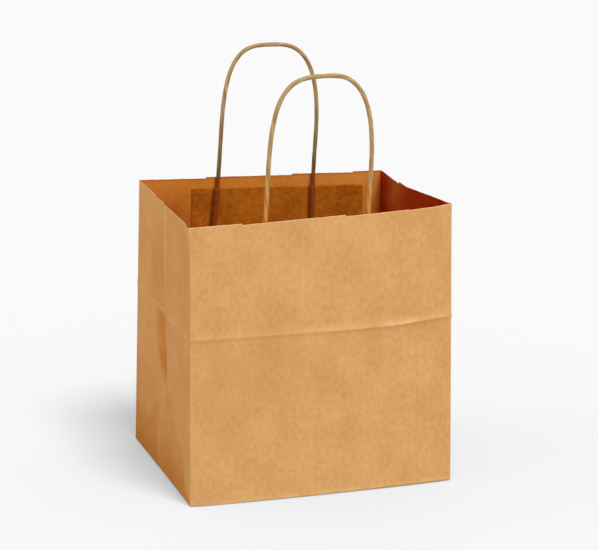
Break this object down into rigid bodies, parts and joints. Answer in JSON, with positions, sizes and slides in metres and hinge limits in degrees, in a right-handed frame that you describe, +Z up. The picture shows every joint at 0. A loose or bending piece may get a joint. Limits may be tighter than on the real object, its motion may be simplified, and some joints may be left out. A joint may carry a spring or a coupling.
{
  "type": "paper carrier bag with twisted cord handles",
  "caption": "Open-topped brown kraft paper bag with a flat block bottom, folded side walls and twisted paper cord handles for carrying food.",
  "frame": {"origin": "on the surface that the bag stands on, at the middle of the bag's bounding box seen from above", "axes": "+Z up out of the mouth, +X along the wide walls to the right as seen from the front, +Y from the front wall to the back wall"},
  "size_m": [0.2574, 0.1848, 0.3895],
  "materials": {
    "kraft_paper": "matt unbleached kraft paper, warm tan",
    "twisted_paper_cord": "matt twisted kraft paper cord, khaki tan",
    "strip_paper": "matt recycled kraft paper, darker brown"
  },
  "bodies": {
    "root": {"bag_body": "kraft_paper", "front_handle": "twisted_paper_cord", "back_handle": "twisted_paper_cord", "front_handle_strip": "strip_paper", "back_handle_strip": "strip_paper"}
  },
  "joints": []
}
